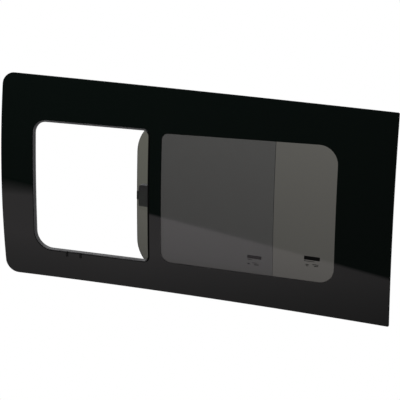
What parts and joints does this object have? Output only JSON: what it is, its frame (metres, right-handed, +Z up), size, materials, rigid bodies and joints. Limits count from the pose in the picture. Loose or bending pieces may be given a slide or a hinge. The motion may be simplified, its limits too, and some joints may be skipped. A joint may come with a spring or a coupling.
{
  "type": "van sliding window",
  "caption": "Bonded half-slider side window for a van: curved dark fixed glass with an opening and a glass pane that slides behind it in a bent channel.",
  "frame": {"origin": "centre of the back face of the middle spacer block on the lower bonding border, where the glass seats on the van's flange", "axes": "+X along the van, to the right seen from outside; +Y inwards, square to the seat; +Z up"},
  "size_m": [1.1553, 0.0375, 0.6003],
  "materials": {
    "fixed_glass": "polished privacy glass with a black fired border",
    "sliding_glass": "polished privacy glass",
    "channel": "satin black powder coat on aluminium",
    "liner": "flocked black rubber",
    "adhesive": "cured black sealant",
    "seal": "matt black rubber",
    "cap_plastic": "grained black plastic",
    "shoe_nylon": "black nylon",
    "latch_plastic": "fine grained black plastic",
    "pin_steel": "zinc plated steel",
    "bolt_nylon": "smooth black nylon",
    "spacer_rubber": "firm black rubber"
  },
  "bodies": {
    "root": {"fixed_glass": "fixed_glass", "sliding_glass": "sliding_glass", "jamb_frame": "channel", "top_rail": "channel", "bottom_rail": "channel", "jamb_liner": "liner", "top_liner": "liner", "bottom_liner": "liner", "jamb_bond": "adhesive", "top_bond": "adhesive", "bottom_bond": "adhesive", "opening_seal": "seal", "pillar_wiper": "seal", "drain_lip_left": "seal", "drain_lip_right": "seal", "top_splice": "channel", "bottom_splice": "channel", "top_rail_cap": "cap_plastic", "bottom_rail_cap": "cap_plastic", "top_stop": "seal", "bottom_stop": "seal", "top_lead_shoe": "shoe_nylon", "top_trail_shoe": "shoe_nylon", "bottom_lead_shoe": "shoe_nylon", "bottom_trail_shoe": "shoe_nylon", "latch_pad": "adhesive", "latch_housing": "latch_plastic", "latch_pin": "pin_steel", "latch_lever": "latch_plastic", "latch_bolt": "bolt_nylon", "keeper": "latch_plastic", "bottom_spacer_left": "spacer_rubber", "bottom_spacer_middle": "spacer_rubber", "bottom_spacer_right": "spacer_rubber", "top_spacer_left": "spacer_rubber", "top_spacer_middle": "spacer_rubber", "top_spacer_right": "spacer_rubber"}
  },
  "joints": []
}
